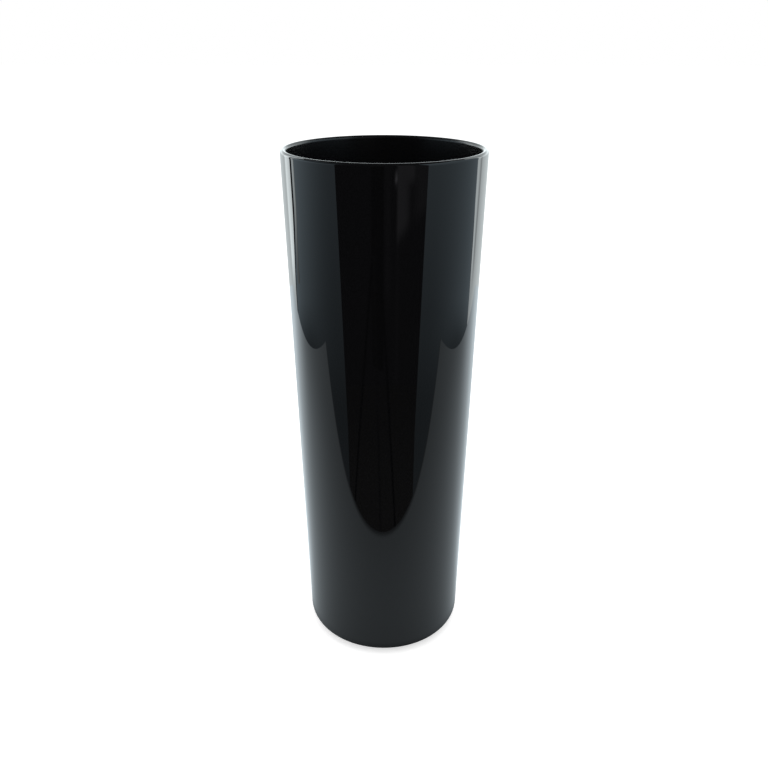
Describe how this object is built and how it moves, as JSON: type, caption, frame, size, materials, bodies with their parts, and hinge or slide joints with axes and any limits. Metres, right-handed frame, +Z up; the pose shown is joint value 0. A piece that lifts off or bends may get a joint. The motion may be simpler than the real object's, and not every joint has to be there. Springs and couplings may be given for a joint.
{
  "type": "florist bucket",
  "caption": "Tall round florist bucket in glossy black plastic, tapering to a rounded foot, open at the top with a full-round lip, for standing cut flowers in water.",
  "frame": {"origin": "middle of the plane that the foot ring stands on", "axes": "+Z up along the bucket's axis, towards the mouth; the bucket is round, so X and Y are any two level directions"},
  "size_m": [0.1848, 0.1848, 0.5],
  "materials": {
    "gloss_black_plastic": "black moulding, mirror-polished outside and a duller satin inside"
  },
  "bodies": {
    "root": {"bucket_body": "gloss_black_plastic"}
  },
  "joints": []
}
